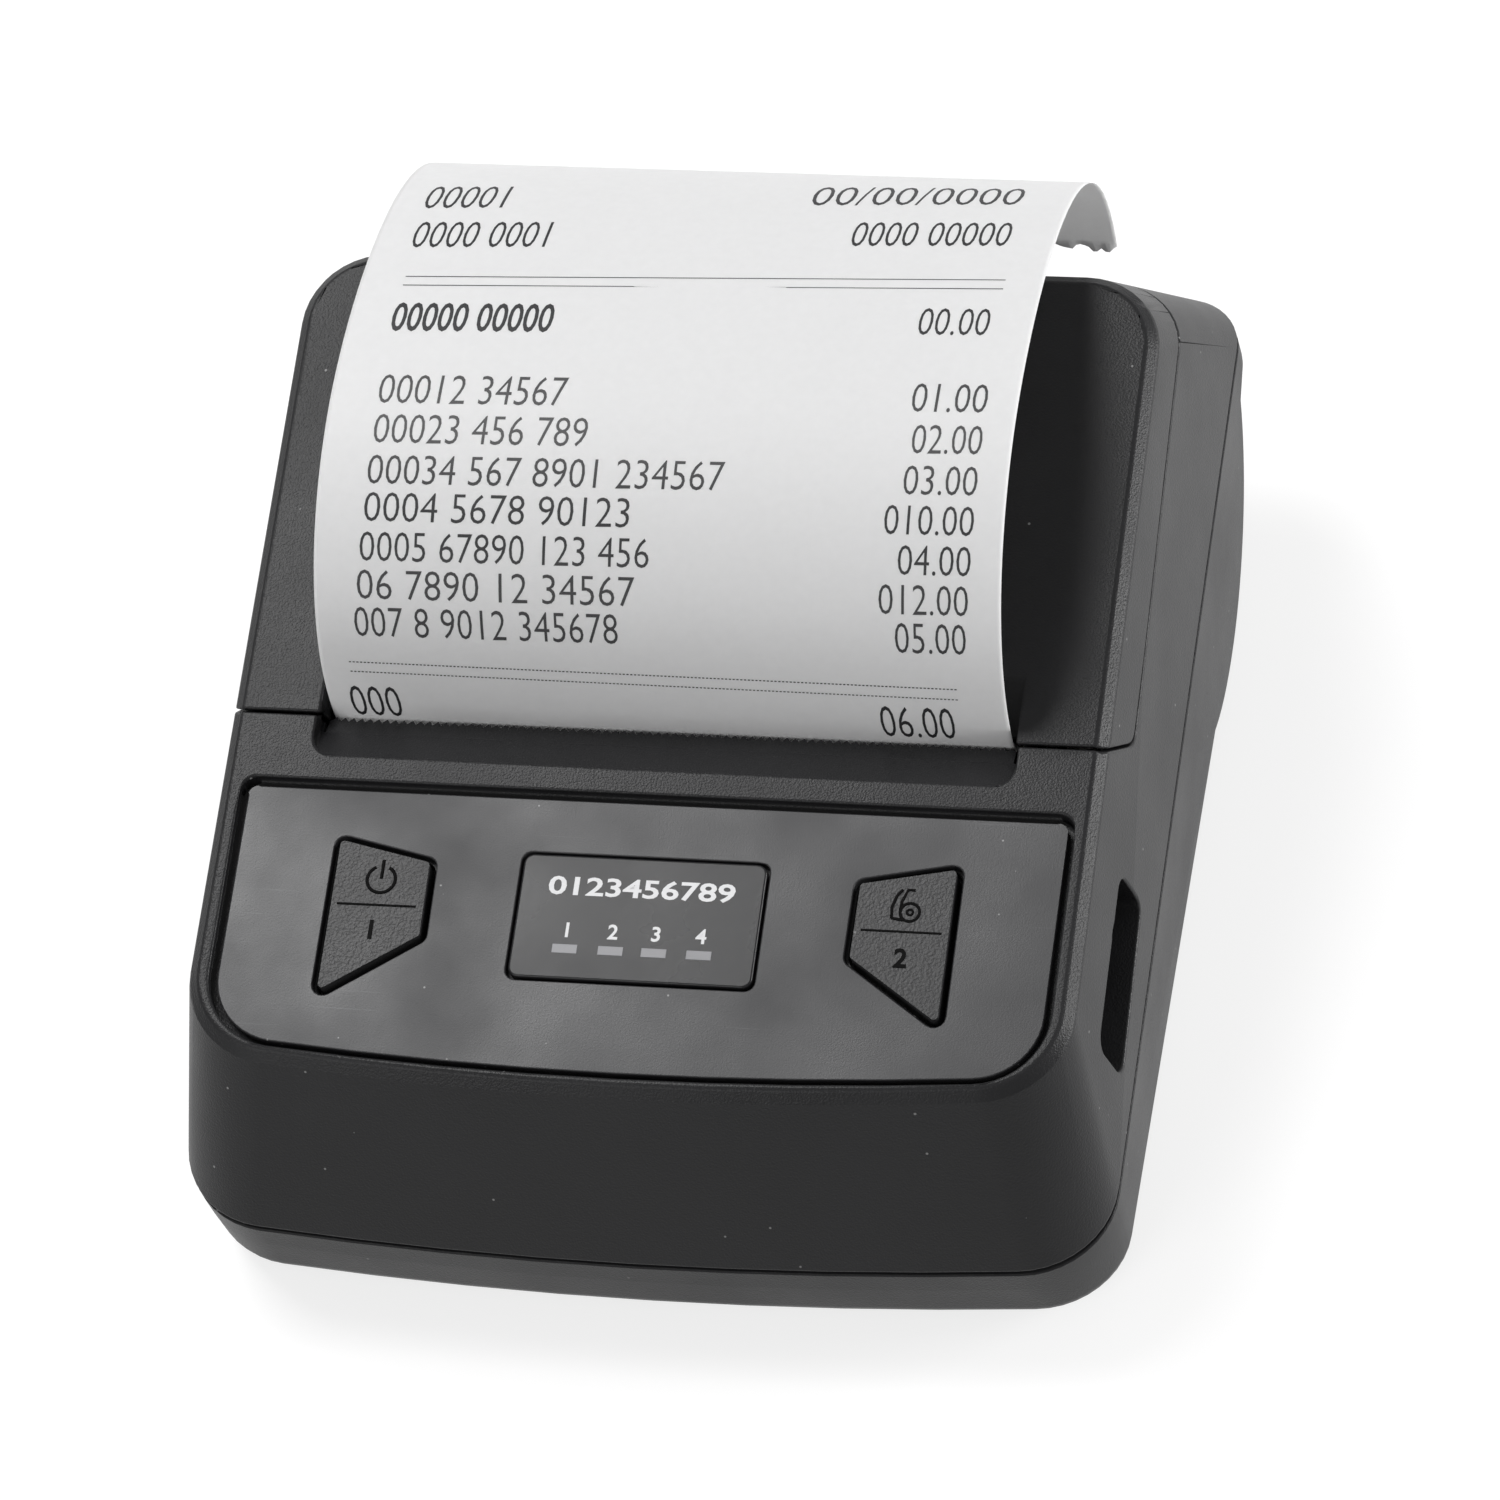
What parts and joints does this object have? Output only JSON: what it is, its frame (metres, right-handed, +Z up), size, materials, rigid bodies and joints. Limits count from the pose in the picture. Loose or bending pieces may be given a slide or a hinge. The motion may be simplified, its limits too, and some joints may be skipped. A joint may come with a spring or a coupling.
{
  "type": "portable receipt printer",
  "caption": "Hand-sized thermal receipt printer with a hinged paper lid, two keys, a status window, side sockets and a round belly for the roll, with a printed strip coming out.",
  "frame": {"origin": "On the table under the feet, in the middle of the width and of the overall length with the paper strip.", "axes": "+X to the right seen from the front, +Y from the front to the rear, +Z up."},
  "size_m": [0.1088, 0.1324, 0.0731],
  "materials": {
    "case_black": "fine spark texture, satin",
    "base_black": "fine spark texture, satin",
    "panel_grey": "smooth printed sheet, light scratches",
    "window_smoke": "smooth, slightly see-through",
    "button_black": "fine spark texture, satin",
    "lamp_clear": "frosted light pipe",
    "tear_black": "moulded teeth, satin",
    "receipt_paper": "smooth coated paper",
    "steel": "bright",
    "black_plastic": "moulded, satin",
    "roller_rubber": "ground rubber",
    "gear_white": "moulded, satin",
    "inner_black": "moulded, satin",
    "spring_steel": "drawn wire",
    "head_ceramic": "glazed strip on a ceramic board",
    "sink_aluminium": "extruded",
    "frame_steel": "plated sheet",
    "motor_metal": "drawn can",
    "pinion_brass": "cut teeth",
    "core_card": "wound card",
    "board_green": "solder mask",
    "cable_amber": "polyimide film",
    "battery_wrap": "shrink film",
    "contact_brass": "plated leaves",
    "foot_rubber": "matt"
  },
  "bodies": {
    "case": {"upper_housing": "case_black", "base_shell": "base_black", "panel_sheet": "panel_grey", "status_window": "window_smoke", "lamp_1": "lamp_clear", "lamp_2": "lamp_clear", "lamp_3": "lamp_clear", "lamp_4": "lamp_clear", "tear_bar": "tear_black", "usb_socket": "steel", "dc_socket": "black_plastic", "hinge_pin": "steel", "hinge_spring": "spring_steel", "head_pivot": "steel", "head_springs": "spring_steel", "mechanism_frame": "frame_steel", "stepper_motor": "motor_metal", "gear_axle": "steel", "roll_bin": "inner_black", "paper_sensor": "black_plastic", "main_board": "board_green", "board_chips": "black_plastic", "key_board": "board_green", "key_switches": "black_plastic", "ribbon_cable": "cable_amber", "battery_pack": "battery_wrap", "battery_contacts": "contact_brass", "shell_screws": "steel", "board_screws": "steel", "rubber_feet": "foot_rubber"},
    "lid": {"paper_lid": "case_black", "lid_liner": "inner_black", "platen_bushes": "gear_white", "receipt_strip": "receipt_paper"},
    "platen": {"platen_roller": "roller_rubber", "platen_shaft": "steel", "platen_gear": "gear_white"},
    "reduction": {"reduction_gear": "gear_white"},
    "pinion": {"motor_pinion": "pinion_brass"},
    "roll": {"paper_roll": "receipt_paper", "roll_core": "core_card"},
    "head": {"print_head": "head_ceramic", "heat_sink": "sink_aluminium"},
    "power_key": {"power_button": "button_black"},
    "feed_key": {"feed_button": "button_black"},
    "door": {"battery_door": "base_black"}
  },
  "joints": [
    {"name": "lid_hinge", "type": "hinge", "parent": "case", "child": "lid", "pos_m": [0, 0.04945, 0.05189], "axis": [-1, 0, 0], "range_deg": [0, 95], "deforming": ["receipt_strip"]},
    {"name": "platen_spin", "type": "hinge", "parent": "lid", "child": "platen", "pos_m": [0, -0.00381, 0.0411], "axis": [1, 0, 0], "continuous": true},
    {"name": "paper_roll_spin", "type": "hinge", "parent": "case", "child": "roll", "pos_m": [0, 0.03173, 0.0278], "axis": [1, 0, 0], "continuous": true},
    {"name": "reduction_spin", "type": "hinge", "parent": "case", "child": "reduction", "pos_m": [0, -0.00872, 0.03355], "axis": [1, 0, 0], "continuous": true},
    {"name": "pinion_spin", "type": "hinge", "parent": "case", "child": "pinion", "pos_m": [0, -0.01258, 0.02167], "axis": [1, 0, 0], "continuous": true},
    {"name": "head_tilt", "type": "hinge", "parent": "case", "child": "head", "pos_m": [0, -0.01041, 0.03173], "axis": [1, 0, 0], "range_deg": [0, 1.5], "stiffness_Nm_per_rad": 4, "springref_deg": -1.72},
    {"name": "power_press", "type": "slide", "parent": "case", "child": "power_key", "axis": [0, 0.2079, -0.9781], "range_m": [0, 0.0005], "stiffness_N_per_m": 1500},
    {"name": "feed_press", "type": "slide", "parent": "case", "child": "feed_key", "axis": [0, 0.2079, -0.9781], "range_m": [0, 0.0005], "stiffness_N_per_m": 1500},
    {"name": "battery_door_hinge", "type": "hinge", "parent": "case", "child": "door", "pos_m": [0, -0.02711, 0.0022], "axis": [1, 0, 0], "range_deg": [0, 70]}
  ],
  "couplings": [
    {"joint": "platen_spin", "follows": "paper_roll_spin", "ratio": 4.5},
    {"joint": "reduction_spin", "follows": "paper_roll_spin", "ratio": -7.0714},
    {"joint": "pinion_spin", "follows": "paper_roll_spin", "ratio": 28.286}
  ]
}
